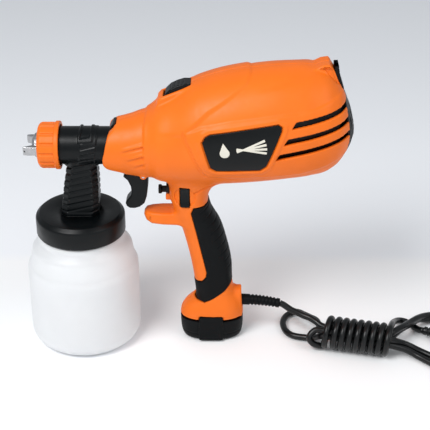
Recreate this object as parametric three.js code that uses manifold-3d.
// A handheld HVLP paint sprayer: a motor unit with a pistol handle, and a spray head with its cup.
// Millimetres, +Z up, nose towards -X, left side towards -Y. The drawing frame has X = 0 on the
// cup's axis; the exported group is moved so that X = 0 is the middle of the gun without its lead.
import * as THREE from 'three';
import { mergeVertices } from 'three/addons/utils/BufferGeometryUtils.js';
import Module from 'manifold-3d';

const wasm = await Module();
wasm.setup();

// ---------------------------------------------------------------- driving dimensions
const GAP = 0.3; // clearance between pieces that touch
const WALL = 2.6; // moulded housing wall
const TIDY = 0.03; // smallest surface detail kept
const FRAME_SHIFT = -102.45; // drawing frame to exported frame, along X

const CUP = { radius: 55, bottomRadius: 55.4, fillet: 15, shoulder: 82, neck: 38, mouth: 132, wall: 1.6 };
const LID = { radius: 43.5, bottom: 120.3, rim: 137.2, top: 142, inner: 39.3, ceiling: 134.3 };
const TUBE = { radius: 18.1, bore: 14.4, z: 211.3, front: -29.5, back: 76 };
const RING = { front: -35, back: -12.5, flange: 17.5, radius: 23.2, flangeRadius: 24.5, pads: 14 };
const SEAL = { front: 40.5, back: 43.1, outer: 20.2, inner: 18.4, groove: 20.5 };
const NOSE = { mouth: 24, mouthAngle: 16, socket: 18.7 };
const PIVOT = { x: 64, z: 187 }; // trigger pivot
const LEVER = { x: 58, z: 203.5 }; // needle lever pivot
const KNOB = { x: 77, z: 165, radius: 4.6 };
const DISH = { x: 103, z: 166, radius: 10.3, y: -20.5 };
const FOOT = { front: 96.5, back: 160, half: 20.3, seam: 25 };
const MOTOR = { x: 150, z: 231, tilt: 8 }; // motor axis passes here, tail up by tilt degrees
const COVER = { hingeX: 257.5, hingeZ: 205, top: 268, half: 24 };
const CORD = { radius: 3.25, exitX: 197.5, exitZ: 34 };
const HANK = { start: [237, -25, 17.2], end: [309, -41, 17.2], radius: 17 };

// Outer shape of the motor casing: [x, top z, bottom z, half width].
const BODY = [
  [70, 250.5, 183, 33], [78, 256.5, 179.5, 38], [92, 263.5, 177.5, 41.6], [110, 275, 177, 46],
  [131, 283, 177.2, 49.2], [160, 289.5, 178.8, 50.8], [199, 294.8, 183, 50.4], [220, 294.3, 186, 48],
  [238.5, 286.5, 191.5, 41], [247, 276, 198.5, 34.5], [253.2, 262, 207.5, 26], [257.6, 250, 216.5, 19],
  [260.3, 239, 225, 11],
];
// Socket that holds the spray head's tube, same columns.
const SOCKET = [
  [20, 235.5, 187.1, 24.2], [36, 238, 185.5, 25.8], [52, 242, 183.5, 28.6], [64, 246.5, 181.5, 31.2],
  [78, 249, 181, 33],
];
// Handle: [z, front x, back x, half width].
const HANDLE = [
  [196, 84, 152, 25], [182, 86.5, 139, 23.5], [172, 87, 130, 22], [160, 87.8, 125, 20.8],
  [148, 91, 127, 19.2], [130, 97.6, 136.4, 17.8], [110, 103, 142.5, 17], [84, 108.4, 147.6, 16.8],
  [67, 111, 148.3, 17], [54, 112.5, 150, 17.4], [40, 112, 152, 18], [30, 108, 154, 18.4],
];
// Orange base above the boot, same columns.
const BASE = [
  [52, 116, 151, 14], [45, 110.5, 156, 17.4], [37, 101.6, 159.2, 19.7],
  [30, 97.4, 160, 20.3], [FOOT.seam + GAP, FOOT.front, FOOT.back, FOOT.half],
];
const BOOT = [
  [FOOT.seam, FOOT.front, FOOT.back, FOOT.half], [12, 96.8, 160, 20.1], [6, 98.3, 158.8, 19],
  [2.2, 101, 156.4, 16.6], [0, 104.5, 153, 13.2],
];

// ---------------------------------------------------------------- geometry helpers
const V = (x, y, z) => new THREE.Vector3(x, y, z);
const radians = THREE.MathUtils.degToRad;

function signedVolume(position, index) {
  const corner = [V(0, 0, 0), V(0, 0, 0), V(0, 0, 0)];
  let total = 0;
  for (let i = 0; i < index.length; i += 3) {
    corner.forEach((c, k) => c.fromBufferAttribute(position, index[i + k]));
    total += corner[0].dot(corner[1].clone().cross(corner[2]));
  }
  return total / 6;
}

// A closed three.js geometry as a solid, with shared vertices and faces turned outwards.
function solid(geometry) {
  const bare = geometry.clone();
  bare.deleteAttribute('normal');
  bare.deleteAttribute('uv');
  const merged = mergeVertices(bare, 1e-4);
  const flip = signedVolume(merged.attributes.position, merged.index.array) < 0;
  const triangles = [];
  for (let i = 0; i < merged.index.count; i += 3) {
    const [a, b, c] = merged.index.array.slice(i, i + 3);
    if (a !== b && b !== c && c !== a) triangles.push(a, flip ? c : b, flip ? b : c);
  }
  return new wasm.Manifold(new wasm.Mesh({
    numProp: 3,
    vertProperties: Float32Array.from(merged.attributes.position.array),
    triVerts: Uint32Array.from(triangles),
  }));
}

// Three.js geometry of a solid; slivers and split flat faces are merged first.
function geometryOf(body) {
  const mesh = body.asOriginal().simplify(TIDY).getMesh();
  const geometry = new THREE.BufferGeometry();
  geometry.setAttribute('position', new THREE.BufferAttribute(mesh.vertProperties, 3));
  geometry.setIndex(new THREE.BufferAttribute(mesh.triVerts, 1));
  geometry.computeVertexNormals();
  return geometry;
}

const join = (...bodies) => bodies.reduce((whole, body) => whole.add(body));
const cut = (body, ...tools) => tools.reduce((left, tool) => left.subtract(tool), body);

function turnedTo(geometry, from, to) {
  const direction = to.clone().sub(from).normalize();
  geometry.applyQuaternion(new THREE.Quaternion().setFromUnitVectors(V(0, 1, 0), direction));
  return geometry.translate(from.x, from.y, from.z);
}

// Round bar from one point to another.
function rod(radius, from, to, sides = 24, endRadius = radius) {
  const length = from.distanceTo(to);
  const bar = new THREE.CylinderGeometry(endRadius, radius, length, sides).translate(0, length / 2, 0);
  return solid(turnedTo(bar, from, to));
}

// Turned shape: profile of [radius, height] measured from a point along a direction.
function turned(profile, from, direction, sides = 32) {
  const points = profile.map(([r, h]) => new THREE.Vector2(r, h));
  if (profile[0][0] > 0) points.push(points[0].clone());
  return solid(turnedTo(new THREE.LatheGeometry(points, sides), from, from.clone().add(direction)));
}

// Flat ring between two radii, from one point to another.
function ring(outer, inner, from, to, sides = 32) {
  const length = from.distanceTo(to);
  const profile = [[inner, 0], [outer, 0], [outer, length], [inner, length]];
  return turned(profile, from, to.clone().sub(from).normalize(), sides);
}

const block = (x0, x1, y0, y1, z0, z1) => solid(
  new THREE.BoxGeometry(x1 - x0, y1 - y0, z1 - z0)
    .translate((x0 + x1) / 2, (y0 + y1) / 2, (z0 + z1) / 2),
);

// Side outline of [x, z] points, extruded across Y.
function plate(outline, y0, y1) {
  const shape = new THREE.Shape(outline.map(([x, z]) => new THREE.Vector2(x, z)));
  const slab = new THREE.ExtrudeGeometry(shape, { depth: y1 - y0, bevelEnabled: false });
  return solid(slab.rotateX(Math.PI / 2).translate(0, y1, 0));
}

// Plan outline of [x, y] points, extruded up Z.
function slab(outline, z0, z1) {
  const shape = new THREE.Shape(outline.map(([x, y]) => new THREE.Vector2(x, y)));
  const slab = new THREE.ExtrudeGeometry(shape, { depth: z1 - z0, bevelEnabled: false });
  return solid(slab.translate(0, 0, z0));
}

// Closed skin over a row of rings that all have the same number of points.
function loft(rings) {
  const sides = rings[0].length;
  const points = rings.flat();
  const index = [];
  for (let i = 0; i + 1 < rings.length; i += 1) {
    for (let j = 0; j < sides; j += 1) {
      const a = i * sides + j;
      const b = i * sides + ((j + 1) % sides);
      index.push(a, b, b + sides, a, b + sides, a + sides);
    }
  }
  [0, rings.length - 1].forEach((end) => {
    const centre = rings[end].reduce((sum, p) => sum.add(p), V(0, 0, 0)).divideScalar(sides);
    points.push(centre);
    for (let j = 0; j < sides; j += 1) {
      const rim = [end * sides + j, end * sides + ((j + 1) % sides)];
      index.push(points.length - 1, ...(end === 0 ? [rim[1], rim[0]] : rim));
    }
  });
  const geometry = new THREE.BufferGeometry().setFromPoints(points);
  geometry.setIndex(index);
  return solid(geometry);
}

const bulge = (value, power) => Math.sign(value) * Math.abs(value) ** (2 / power);

// Rounded section: power 2 is an ellipse, a higher power is boxier.
function section(centre, across, up, power, sides) {
  return Array.from({ length: sides }, (_, i) => {
    const angle = ((i + 0.5) / sides) * 2 * Math.PI;
    return centre.clone()
      .addScaledVector(across, bulge(Math.cos(angle), power))
      .addScaledVector(up, bulge(Math.sin(angle), power));
  });
}

// Loft along X from [x, top, bottom, half width] rows, moved inwards by inset.
const hull = (rows, inset = 0, power = 2.1, sides = 24) => loft(rows.map(([x, top, bottom, half]) => {
  const up = V(0, 0, (top - bottom) / 2 - inset);
  return section(V(x, 0, (top + bottom) / 2), V(0, half - inset, 0), up, power, sides);
}));

// Loft along Z from [z, front, back, half width] rows, moved inwards by inset.
const column = (rows, inset = 0, power = 2.4, sides = 16) => loft(rows.map(([z, front, back, half]) => {
  const along = V((back - front) / 2 - inset, 0, 0);
  return section(V((front + back) / 2, 0, z), along, V(0, half - inset, 0), power, sides);
}));

// Tube or bar along a smooth curve, with a closed round section.
function swept(points, radius, steps, sides = 8, bore = 0) {
  const profile = new THREE.Shape().absarc(0, 0, radius, 0, 2 * Math.PI, false);
  if (bore > 0) profile.holes.push(new THREE.Path().absarc(0, 0, bore, 0, 2 * Math.PI, true));
  const path = new THREE.CatmullRomCurve3(points.map((p) => V(...p)), false, 'centripetal');
  const settings = { steps, extrudePath: path, curveSegments: sides / 2 };
  return solid(new THREE.ExtrudeGeometry(profile, settings));
}

// Compression spring along a direction.
function coil(from, direction, radius, wire, pitch, turns) {
  const side = new THREE.Vector3().crossVectors(direction, V(0.1, 0.9, 0.3)).normalize();
  const other = new THREE.Vector3().crossVectors(direction, side).normalize();
  const perTurn = 7;
  const points = Array.from({ length: turns * perTurn + 1 }, (_, i) => {
    const angle = (i / perTurn) * 2 * Math.PI;
    return from.clone()
      .addScaledVector(direction, (i / perTurn) * pitch)
      .addScaledVector(side, radius * Math.cos(angle))
      .addScaledVector(other, radius * Math.sin(angle))
      .toArray();
  });
  return swept(points, wire, turns * perTurn, 6);
}

// ---------------------------------------------------------------- finishes
const finish = (color, roughness, metalness = 0) => ({ color, roughness, metalness });
const ORANGE = finish(0xe8692b, 0.45);
const BLACK = finish(0x15181a, 0.5);
const RUBBER = finish(0x0e1113, 0.75);
const STEEL = finish(0xb9bcc0, 0.3, 0.9);
const COPPER = finish(0xb4692c, 0.4, 0.8);
const BRASS = finish(0xb98d3c, 0.35, 0.9);
const MILKY = finish(0xe6e9f0, 0.4);
const CREAM = finish(0xd8d4c8, 0.6);
const FOAM = finish(0x2c2c2e, 0.95);

const gun = new THREE.Group();
gun.position.x = FRAME_SHIFT;

function add(name, body, look) {
  const mesh = new THREE.Mesh(geometryOf(body), new THREE.MeshStandardMaterial(look));
  mesh.name = name;
  gun.add(mesh);
  return body;
}

// ---------------------------------------------------------------- motor unit: orange clamshell
const badgeOutline = [
  [123, 237], [128, 242.5], [186, 252], [191, 249], [176, 219], [171, 215.5], [135, 210], [130, 213],
];
const gripOutline = [
  [108.6, 148], [111, 154], [121, 155.5], [126, 160], [142, 158], [158, 120], [160, 80], [148, 76], [142, 63],
  [125, 50.5], [119, 48], [104, 48], [100, 73], [112, 71.5], [119, 74.5], [122.6, 82],
];
const bezelOutline = [[77, 250], [78.5, 260.8], [81.5, 264.2], [110.5, 276.3], [113.5, 273], [114, 262]];
const hoodOutline = [
  [214, 283], [221, 292.5], [228, 296.2], [235, 297.2], [240, 290.5], [248, 270.5], [245, 262],
];
const mouthPlane = { x: 32, z: 211.3 };

// An outline moved outwards by a distance, or inwards by a negative one.
function grown(outline, by) {
  const anticlockwise = THREE.ShapeUtils.isClockWise(outline.map(([x, z]) => new THREE.Vector2(x, z)))
    ? [...outline].reverse() : outline;
  return new wasm.CrossSection([anticlockwise]).offset(by, 'Miter', 2).toPolygons()[0];
}

// Everything in front of the slanted mouth of the socket.
function aheadOfMouth() {
  const box = new THREE.BoxGeometry(60, 120, 160).translate(-30, 0, 0);
  return solid(box.rotateY(radians(NOSE.mouthAngle)).translate(mouthPlane.x, 0, mouthPlane.z));
}

// Three cooling slots, cut through both flanks near the tail.
const ventSlots = [0, 1, 2].map((i) => {
  const x = 204.5 - i * 7;
  const z = 249 - i * 15;
  return plate([[x, z], [x + 3, z + 5], [262, z + 21.5 - i], [262, z + 16.5 - i]], -60, 60);
});

const finger = [
  [108, 130], [82, 131], [70, 131.5], [64.5, 134], [61.8, 138.5], [62.5, 142], [65, 143.8], [90, 143.8],
  [108, 146],
];
const shelfPlan = [
  [61, -3], [64, -7.5], [70, -10.8], [80, -12.6], [110, -13], [110, 13], [80, 12.6], [70, 10.8], [64, 7.5],
  [61, 3],
];
const guard = plate(finger, -14, 14).intersect(slab(shelfPlan, 120, 160));

const cableBoss = join(
  block(146, 158.2, -9, 9, FOOT.seam + GAP, 50),
  rod(9, V(146, 0, 46), V(158.2, 0, 46), 20),
);

const handleOuter = column(HANDLE);
const handleCore = column(HANDLE, 2.2);
const gripZone = plate(gripOutline, -30, 30);

function casing() {
  const bezel = plate(bezelOutline, -12, 12);
  const hood = plate(hoodOutline, -12.5, 12.5);
  const outer = join(hull(BODY), hull(SOCKET), column(BASE), guard, cableBoss, bezel, hood);
  const gripped = join(cut(handleOuter, gripZone), handleCore.intersect(gripZone));
  const knobBoss = block(85, 92, -5.5, 5.5, 155.5, 163);
  const cavity = join(
    hull(BODY.filter((_, i) => i % 2 === 0), WALL, 2.1, 18),
    hull([[45, 238.2, 186, 25.4], [64, 243.5, 184.5, 28.2], [80, 246, 184, 30]], 0, 2.1, 18),
    column(HANDLE.filter((_, i) => i % 2 === 1), 4.8, 2.4, 12),
    column([[46, 114, 153, 13.5], [36, 104, 156.5, 16.5], [24, 99.5, 157, 17.3]], 0, 2.4, 12),
    rod(NOSE.socket, V(0, 0, TUBE.z), V(60, 0, TUBE.z), 28),
    rod(22.5, V(10, 0, TUBE.z), V(38, 0, TUBE.z), 28, 20),
    rod(SEAL.groove, V(SEAL.front - GAP, 0, TUBE.z), V(SEAL.back + GAP, 0, TUBE.z), 28),
  );
  const shell = cut(join(outer, gripped, knobBoss), cavity, cut(gripZone, handleCore));
  const pinBosses = [-1, 1].map((side) => {
    const inner = V(PIVOT.x, side * 9.2, PIVOT.z);
    return rod(4.2, inner, V(PIVOT.x, side * 27, PIVOT.z), 16).intersect(hull(SOCKET, 0.5));
  });
  const screwPosts = screwPlaces.map(([x, z]) => rod(4.2, V(x, -60, z), V(x, 60, z), 12)
    .intersect(join(hull(BODY, 1), column(HANDLE, 1), column(BASE, 1))));
  return join(shell, ...pinBosses, ...screwPosts);
}

// Places of the four screws that hold the two halves together: [x, z].
const screwPlaces = [[77.5, 240.4], [216, 277], [222, 202], [122, 172]];

const buttonHole = block(84, 109.3, -8.6, 8.6, 240, 300);
const triggerSlot = block(43, 75, -8.5, 8.5, 168, 193.5);
const knobHole = rod(3.6, V(80, 0, KNOB.z), V(96, 0, KNOB.z), 20);
const bezelSeat = rod(6.8, V(80, 0, KNOB.z + 2), V(88.2, 0, KNOB.z + 2), 24);
const dishCut = join(
  turned(
    [[0, 0], [8, 0], [DISH.radius, 1.9], [DISH.radius, 12], [0, 12]],
    V(DISH.x, DISH.y + 1.2, DISH.z), V(0, -1, 0),
  ),
  block(DISH.x - 4.8, DISH.x + 4.8, -40, -12, DISH.z - 11.2, DISH.z + 11.2),
);
const tabOutline = [[115.6, 5], [115.6, 31.6], [139.6, 31.6], [139.6, 5]];
const tabNotch = plate(grown(tabOutline, 0.5), -30, 30).subtract(block(90, 170, -17.8, 17.8, 0, 60));
const sleeveHole = rod(6, V(150, 0, 38.7), V(165, 0, 38.7), 20);

// Tail opening for the filter cover, and the same shape shrunk for the cover itself.
function tailOpening(shrink) {
  const height = (COVER.top - COVER.hingeZ) / 2 - shrink;
  const oval = section(V(0, 0, 0), V(0, COVER.half - shrink, 0), V(0, 0, height), 2.6, 24);
  const middle = (COVER.top + COVER.hingeZ) / 2;
  const rings = [246, 275].map((x) => oval.map((p) => V(x, p.y, p.z + middle)));
  const latch = block(240.5 + shrink, 275, -8.6 + shrink, 8.6 - shrink, 255, 310 - shrink);
  return join(loft(rings), latch);
}

const screwHoles = screwPlaces.map(([x, z]) => join(
  rod(1.9, V(x, -14.6, z), V(x, 60, z), 12),
  rod(3.6, V(x, 14.2, z), V(x, 60, z), 12),
));
const pinHole = rod(1.8, V(PIVOT.x, -20, PIVOT.z), V(PIVOT.x, 20, PIVOT.z), 16);

const badgeZone = plate(grown(badgeOutline, GAP), -60, 60);
const badgeSeat = badgeZone.subtract(hull(BODY, 1.4));

const shell = cut(
  casing(), aheadOfMouth(), badgeSeat, buttonHole, triggerSlot, knobHole, bezelSeat, dishCut, tabNotch,
  sleeveHole, tailOpening(0), ...ventSlots, ...screwHoles, pinHole,
);
const farHalf = block(-100, 400, 0.15, 200, -10, 400);
const nearHalf = block(-100, 400, -200, -0.15, -10, 400);
const largest = (body) => body.decompose().sort((a, b) => b.volume() - a.volume())[0];
add('housing_left', largest(shell.intersect(nearHalf)), ORANGE);
add('housing_right', largest(shell.intersect(farHalf)), ORANGE);

function badge(side) {
  const skin = hull(BODY, 0.1).subtract(hull(BODY, 1.1));
  const half = side < 0 ? nearHalf : farHalf;
  return largest(skin.intersect(plate(badgeOutline, -60, 60)).intersect(half));
}
add('badge_left', badge(-1), BLACK);
add('badge_right', badge(1), BLACK);

const gripSkin = handleOuter.subtract(column(HANDLE, 2.2 - GAP));
add('grip_sleeve', largest(gripSkin.intersect(plate(grown(gripOutline, -GAP), -30, 30))), RUBBER);

const tabs = plate(tabOutline, -21.3, 21.3).subtract(block(90, 170, -18.2, 18.2, 0, 60));
const boot = join(column(BOOT, 0, 2.4, 20), tabs);
add('foot_boot', boot, RUBBER);

// ---------------------------------------------------------------- controls
const buttonOutline = [
  [84.3, 254], [84.3, 262.2], [86.5, 267.2], [91, 271.7], [97, 274.7], [103, 276.6], [109, 276.6], [109, 260],
];
add('release_button', plate(buttonOutline, -8.3, 8.3), BLACK);
add('button_spring', coil(V(97, 0, 243), V(0, 0, 1), 4, 0.5, 2.5, 4), STEEL);

const triggerOutline = [
  [44, 181], [45.2, 183.4], [50, 185.4], [57, 186], [59.6, 187], [60.6, 190], [60.6, 198.6], [63.6, 198.6],
  [65, 191.6],
  [68.6, 188.2], [67.6, 178], [67.3, 170], [66, 160], [63.6, 152.6], [59, 148.6], [54, 147], [49.2, 147.2],
  [46.2, 149.4], [45.2, 152.4], [46.4, 155.6], [50, 160], [51.3, 165], [50.8, 170.6], [48, 177],
];
function trigger() {
  const blade = plate(triggerOutline, -7.6, 7.6);
  const finTop = join(block(30, 80, 2.8, 20, 190.4, 210), block(30, 80, -20, -2.8, 190.4, 210));
  return cut(blade, finTop, rod(1.9, V(PIVOT.x, -20, PIVOT.z), V(PIVOT.x, 20, PIVOT.z), 16));
}
add('trigger', trigger(), BLACK);
add('trigger_pin', rod(1.5, V(PIVOT.x, -18.5, PIVOT.z), V(PIVOT.x, 18.5, PIVOT.z), 16), STEEL);

add('knob_bezel', ring(6.5, 4.2, V(84.8, 0, KNOB.z + 2), V(87.9, 0, KNOB.z + 2), 24)
  .intersect(block(70, 100, -10, 10, KNOB.z + 1, 180)), BLACK);
add('flow_screw', join(
  rod(1.4, V(80.2, 0, KNOB.z), V(88, 0, KNOB.z), 16),
  rod(2.9, V(88, 0, KNOB.z), V(104, 0, KNOB.z), 16),
), BRASS);
add('flow_knob', cut(
  join(
    rod(KNOB.radius, V(KNOB.x, 0, KNOB.z), V(KNOB.x + 2.6, 0, KNOB.z), 20),
    rod(3.2, V(KNOB.x + 2.6, 0, KNOB.z), V(87, 0, KNOB.z), 20),
  ),
  rod(1.7, V(79.9, 0, KNOB.z), V(95, 0, KNOB.z), 16),
), BLACK);

const rockerOutline = [[-4.3, -10.2], [4.3, -10.2], [4.3, 10.2], [-4.3, 10.2]];
function rocker() {
  const pad = rockerOutline.map(([x, z]) => [DISH.x + x, DISH.z + z]);
  const face = new THREE.Shape([
    [-21.6, 10.2], [-19.9, 0], [-20.6, -10.2], [-15.5, -8.2], [-15, 0], [-15.5, 8.2],
  ]
    .map(([y, z]) => new THREE.Vector2(y, z)));
  const side = new THREE.ExtrudeGeometry(face, { depth: 8.6, bevelEnabled: false });
  // The side outline is drawn in (y, z) and pushed along X.
  side.applyMatrix4(new THREE.Matrix4().makeBasis(V(0, 1, 0), V(0, 0, 1), V(1, 0, 0)));
  return solid(side.translate(DISH.x - 4.3, 0, DISH.z)).intersect(plate(pad, -30, 0));
}
add('power_rocker', rocker(), BLACK);
add('switch_body', block(DISH.x - 3, DISH.x + 10, -12.4, -3, DISH.z - 11.5, DISH.z + 11.5), BLACK);

// ---------------------------------------------------------------- turbine and motor
const tilt = radians(MOTOR.tilt);
const axis = V(Math.cos(tilt), 0, Math.sin(tilt));
const along = (s) => V(MOTOR.x, 0, MOTOR.z).addScaledVector(axis, s);

add('turbine_casing', turned(
  [[13, -32], [38, -32], [38, -2], [9, -2], [9, -4.4], [35.6, -4.4], [35.6, -29.6], [13, -29.6]],
    along(0), axis, 20,
), STEEL);
const VANES = 6; // blades on one impeller
function impeller(s) {
  const disc = ring(32, 4.3, along(s), along(s + 1.2), 16);
  const vane = (i) => {
    const blade = new THREE.BoxGeometry(6.5, 22, 1.2).translate(3.3, 20, 0);
    blade.rotateX((i / VANES) * 2 * Math.PI).rotateY(-tilt);
    const at = along(s - 6);
    return solid(blade.translate(at.x, at.y, at.z));
  };
  const hub = ring(9.5, 4.3, along(s - 6), along(s + 0.6), 10);
  return join(disc, hub, ...Array.from({ length: VANES }, (_, i) => vane(i)));
}
add('turbine_impeller_front', impeller(-20.5), STEEL);
add('turbine_impeller_rear', impeller(-8.2), STEEL);
add('rotor_shaft', rod(4, along(-26.5), along(66), 14), STEEL);
add('front_bearing', ring(8.6, 4.3, along(-1.4), along(4.6), 16), STEEL);
add('rear_bearing', ring(7.5, 4.3, along(58), along(63), 16), STEEL);
add('armature', ring(17, 4.3, along(10), along(44), 16), COPPER);
add('commutator', ring(9, 4.3, along(46), along(56), 16), COPPER);
const stator = cut(
  ring(32, 18.4, along(8), along(46), 20),
  ...[-1, 1].map((side) => block(100, 250, -6, 6, side > 0 ? 262 : 180, side > 0 ? 300 : 208)),
);
add('motor_stator', largest(stator), STEEL);
add('motor_mount', ring(36.5, 32.6, along(24), along(31), 20), RUBBER);
[-1, 1].forEach((side) => {
  const place = along(51);
  const [y0, y1] = side > 0 ? [9.6, 18] : [-18, -9.6];
  const brush = block(place.x - 3, place.x + 3, y0, y1, place.z - 2, place.z + 2);
  add(side < 0 ? 'brush_left' : 'brush_right', brush, finish(0x2a2a2c, 0.9));
});
add('filter_foam', largest(hull(BODY, 7.6, 2.1, 16).intersect(block(227, 236, -60, 60, 198, 300))), FOAM);
const duct = join(
  turned(
    [[11.6, 0], [13.6, 0], [13.6, 24], [24, 36.4], [22, 36.4], [11.6, 24.6]],
    V(80, 0, 212.5), V(0.985, 0, 0.17).normalize(), 20,
  ),
);
add('air_duct', duct, BLACK);

function filterCover() {
  const skin = hull(BODY, 0.05).subtract(hull(BODY, 2.8));
  const plateBody = skin.intersect(tailOpening(GAP));
  const outline = [[240.8, 270], [240.8, 284], [241.6, 290.5], [244, 290.6], [249.6, 269], [247, 266]];
  const tab = plate(outline, -8.2, 8.2);
  return largest(join(plateBody, tab.subtract(hull(BODY, 2.8))));
}
add('filter_cover', filterCover(), BLACK);

screwPlaces.forEach(([x, z], i) => {
  add(`housing_screw_${i + 1}`, join(
    rod(3.2, V(x, 14.6, z), V(x, 17, z), 12),
    rod(1.5, V(x, -14, z), V(x, 14.8, z), 10),
  ), STEEL);
});
add('terminal_block', block(120, 134, -5, 5, 50, 62), CREAM);

// ---------------------------------------------------------------- spray head
const octagon = (x0, x1, half, z) => {
  const c = 5.2;
  return [
    [x0 + c, -half], [x1 - c, -half], [x1, -half + c], [x1, half - c],
    [x1 - c, half], [x0 + c, half], [x0, half - c], [x0, -half + c],
  ].map(([x, y]) => V(x, y, z));
};
function sprayBody() {
  const neck = loft([
    octagon(-9.5, 20.3, 13.5, 205), octagon(-10, 20.3, 14, 188), octagon(-12.8, 20.6, 14.6, 174),
    octagon(-14.4, 20.4, 15.2, 162), octagon(-16.2, 20.2, 15.8, 150), octagon(-16.6, 19.2, 16, 142.3),
  ]);
  const barrel = rod(TUBE.radius, V(TUBE.front, 0, TUBE.z), V(TUBE.back, 0, TUBE.z), 28);
  const strap = rod(TUBE.radius + 1.3, V(5, 0, TUBE.z), V(22.5, 0, TUBE.z), 28);
  const spigot = rod(8.7, V(0, 0, 128), V(0, 0, 150), 20);
  const airPath = rod(TUBE.bore, V(-8, 0, TUBE.z), V(90, 0, TUBE.z), 20);
  const frontPath = rod(12.6, V(-40, 0, TUBE.z), V(-14, 0, TUBE.z), 20);
  const throat = rod(6.3, V(-40, 0, TUBE.z), V(0, 0, TUBE.z), 20);
  const paintPath = rod(3.4, V(0, 0, 120), V(0, 0, TUBE.z - 4), 16);
  const leverSlot = block(52.5, 90, -3.6, 3.6, 190, 200);
  const leverBore = rod(1.25, V(LEVER.x, -20, LEVER.z), V(LEVER.x, 20, LEVER.z), 12);
  const springSeat = block(72.8, 75.4, -4.5, 4.5, TUBE.z - 6, TUBE.z + 15);
  const form = join(barrel, strap, neck, spigot);
  return join(cut(form, airPath, frontPath, throat, paintPath, leverSlot, leverBore), springSeat);
}
add('spray_body', sprayBody(), BLACK);
const sealEnds = [V(SEAL.front, 0, TUBE.z), V(SEAL.back, 0, TUBE.z)];
add('head_seal', ring(SEAL.outer, SEAL.inner, ...sealEnds, 28), RUBBER);

add('fluid_nozzle', cut(
  join(
    rod(12.2, V(-29, 0, TUBE.z), V(-16, 0, TUBE.z), 20),
    rod(5, V(-36, 0, TUBE.z), V(-29, 0, TUBE.z), 16),
    rod(2.3, V(-41.2, 0, TUBE.z), V(-36, 0, TUBE.z), 16, 4.2),
  ),
  rod(1.6, V(-50, 0, TUBE.z), V(0, 0, TUBE.z), 12),
), BRASS);
add('fluid_needle', join(
  rod(1.2, V(-38, 0, TUBE.z), V(62, 0, TUBE.z), 12),
  rod(4.9, V(61, 0, TUBE.z), V(62.4, 0, TUBE.z), 16),
), STEEL);
add('needle_packing', ring(6, 1.6, V(-7.6, 0, TUBE.z), V(-2.4, 0, TUBE.z), 16), RUBBER);
add('needle_spring', coil(V(63.3, 0, TUBE.z), V(1, 0, 0), 3.4, 0.4, 2.2, 4), STEEL);
const leverOutline = [
  [56.4, 196.4], [59.9, 196.4], [60.6, 202], [60.6, 205], [59.9, 208.8], [57.6, 208.8], [55.6, 204.8],
  [55.6, 201.6],
];
add('needle_lever', cut(
  plate(leverOutline, -2.6, 2.6), rod(1.3, V(LEVER.x, -9, LEVER.z), V(LEVER.x, 9, LEVER.z), 12),
), STEEL);
add('lever_pin', rod(1, V(LEVER.x, -14.4, LEVER.z), V(LEVER.x, 14.4, LEVER.z), 12), STEEL);

function airCap() {
  const front = turned(
    [
      [3, -5.4], [8, -5.4], [11.4, -3], [12.3, 0.2], [15.6, 0.8], [15.6, 2.5], [19, 2.5], [19, 4.4], [8, 4.4],
      [3, 1],
    ],
    V(-35, 0, TUBE.z), V(1, 0, 0), 24,
  );
  const horn = (side) => {
    const outline = [[-34, 8.2], [-41, 9.2], [-48, 13.2], [-48, 14.4], [-44, 15.2], [-34, 15.2]];
    return slab(outline.map(([x, y]) => [x, side * y]), TUBE.z - 4.4, TUBE.z + 4.4);
  };
  return cut(join(front, horn(-1), horn(1)), rod(5.4, V(-60, 0, TUBE.z), V(-28, 0, TUBE.z), 20));
}
add('air_cap', airCap(), STEEL);

function ringNut() {
  const padShape = new THREE.Shape();
  const step = (2 * Math.PI) / RING.pads;
  const corners = [[0.08, -1.3], [0.13, 0], [0.87, 0], [0.92, -1.3]];
  for (let i = 0; i < RING.pads; i += 1) {
    corners.forEach(([share, rise], k) => {
      const angle = (i + share) * step;
      const reach = RING.radius + rise;
      const point = [reach * Math.cos(angle), reach * Math.sin(angle)];
      if (i === 0 && k === 0) padShape.moveTo(...point);
      else padShape.lineTo(...point);
    });
  }
  const length = RING.flange + RING.front;
  const ribbed = new THREE.ExtrudeGeometry(padShape, { depth: -length, bevelEnabled: false });
  ribbed.applyMatrix4(new THREE.Matrix4().makeBasis(V(0, 1, 0), V(0, 0, 1), V(1, 0, 0)));
  const body = solid(ribbed.translate(RING.front, 0, TUBE.z));
  const blank = turned(
    [[0, 0], [RING.radius - 2.6, 0], [RING.radius + 0.6, 3.4], [RING.radius + 0.6, 17],
      [RING.flangeRadius, 17.6],
      [RING.flangeRadius, 22.5], [0, 22.5]],
    V(RING.front, 0, TUBE.z), V(1, 0, 0), 28,
  );
  const flange = rod(RING.flangeRadius, V(-17.5, 0, TUBE.z), V(RING.back, 0, TUBE.z), 28);
  const bore = join(
    rod(16.4, V(-60, 0, TUBE.z), V(0, 0, TUBE.z), 24),
    rod(19.8, V(-33.7, 0, TUBE.z), V(0, 0, TUBE.z), 24),
  );
  return cut(join(body, flange).intersect(blank), bore);
}
add('ring_nut', ringNut(), ORANGE);
add('nut_washer', ring(19.2, 16.4, V(-33.4, 0, TUBE.z), V(-32.8, 0, TUBE.z), 24), STEEL);

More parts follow.
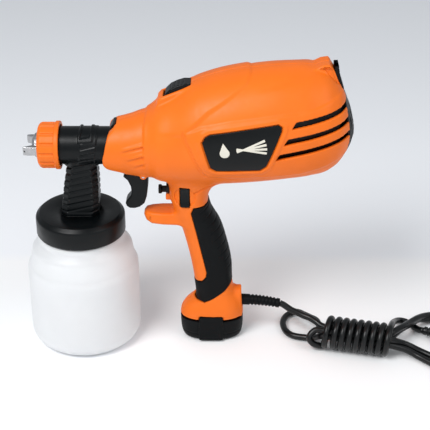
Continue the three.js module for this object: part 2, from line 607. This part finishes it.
// ---------------------------------------------------------------- lid and cup
function arc(radius, centreR, centreH, from, to, steps) {
  return Array.from({ length: steps + 1 }, (_, i) => {
    const angle = radians(from + ((to - from) * i) / steps);
    return [centreR + radius * Math.cos(angle), centreH + radius * Math.sin(angle)];
  });
}
add('cup_lid', turned([
  [9, LID.top], [24, LID.top - 0.1], [40.6, LID.rim + 1.2], [42.6, LID.rim + 0.6], [LID.radius, LID.rim - 1],
  [LID.radius, LID.bottom], [LID.inner, LID.bottom], [LID.inner, LID.ceiling], [9, LID.ceiling],
], V(0, 0, 0), V(0, 0, 1), 32), BLACK);
add('cup_gasket', ring(37.6, 33, V(0, 0, CUP.mouth + GAP), V(0, 0, LID.ceiling - GAP), 24), RUBBER);

const cupSide = [
  ...arc(CUP.fillet, CUP.bottomRadius - CUP.fillet, CUP.fillet, -90, 0, 3),
  [CUP.radius, CUP.shoulder], [53, 95], [46.6, 106.6], [41.8, 112.4], [41.2, 118.4], [CUP.neck, 118.8],
  [CUP.neck, CUP.mouth],
];
const cupInside = cupSide.slice(1).reverse().map(([r, h]) => [r - CUP.wall, Math.max(h, 3)]);
add('cup', turned(
  [[0, 0], ...cupSide, ...cupInside, [CUP.bottomRadius - CUP.fillet, CUP.wall], [0, CUP.wall]],
  V(0, 0, 0), V(0, 0, 1), 32,
), MILKY);
const suctionRoute = [[0, 0, 160], [0, 0, 120], [0, 0, 90], [-6, 0, 50], [-18, 0, 10]];
add('suction_tube', swept(suctionRoute, 3, 7, 8, 1.9), CREAM);

// ---------------------------------------------------------------- mains lead, coiled into a hank
// Rings of the moulded sleeve: [x, z of the centre, radius].
const SLEEVE = [
  [151, 38.7, 5.6], [158.6, 38.7, 5.6], [172, 38, 5.5], [185, 36.4, 5.2], [197, 34.1, 4.7],
];
const sleeveSections = SLEEVE.map(([x, z, r]) => section(V(x, 0, z), V(0, r, 0), V(0, 0, r), 2, 14));
add('cord_sleeve', loft(sleeveSections), RUBBER);
add('cord_lead', swept([
  [198.8, -0.4, 33.5], [204, -2, 31.2], [209, -4.5, 28.9], [215, -6.5, 27], [221, -9, 25.2],
  [228, -12.5, 24.3],
  [233, -16.6, 24.2],
], CORD.radius, 10), RUBBER);
const hankStart = V(...HANK.start);
const hankEnd = V(...HANK.end);
const hankAxis = hankEnd.clone().sub(hankStart).normalize();
add('cord_wraps', rod(HANK.radius - 0.2, hankStart, hankEnd, 20), RUBBER);
add('cord_left_loop', swept([
  [232.6, -21, 6], [224, -18, 4.2], [211, -13.5, 3.6], [204, -4.5, 3.5], [202, 9, 3.5], [205, 20, 3.5],
  [211, 27, 4.2],
  [217, 27, 6.6], [224, 17, 9], [230, 7, 12], [234, -5, 15],
], CORD.radius, 20), RUBBER);
add('cord_end_loops', swept([
  [313.4, -24, 17], [319, -19, 17], [331, -7, 15.6], [340, 2.6, 15.6], [349, 11.5, 12.4], [362, 20, 7.4],
  [384, 25, 7], [404, 16, 7], [414, -6, 7], [413, -34, 7], [402, -58, 7], [382, -70, 7], [360, -66, 7],
  [343, -54, 7], [330, -46.6, 7], [319, -43.4, 9.6], [313.8, -43.4, 12],
], 6.6, 30), RUBBER);
add('cord_tail', swept([
  [314.6, -12, 12], [317, -1, 9.4], [322, 10, 6.2], [328, 14.6, 4.2], [333.4, 10.6, 3.6], [337, 4, 3.6],
  [341, -3.4, 3.8], [344, -8, 5.6],
], CORD.radius, 12), RUBBER);

const plugAxis = V(0.88, -0.47, 0).normalize();
const plugAt = (s) => V(345.4, -10.4, 8.2).addScaledVector(plugAxis, s);
const pinSide = V(-plugAxis.y, plugAxis.x, 0);
const plugPin = (side, s) => plugAt(s).addScaledVector(pinSide, side * 3.6);
add('plug', cut(
  join(
    rod(4.2, plugAt(0), plugAt(20), 14, 6),
    turned([[0, 18], [7.6, 18], [8, 22], [8, 36], [7, 38], [0, 38]], plugAt(0), plugAxis, 16),
  ),
  ...[-1, 1].map((side) => rod(1.9, plugPin(side, 30), plugPin(side, 60), 12)),
), RUBBER);
['plug_pin_a', 'plug_pin_b'].forEach((name, i) => {
  const side = i * 2 - 1;
  add(name, rod(1.5, plugPin(side, 30.4), plugPin(side, 56), 12), BRASS);
});

export default gun;
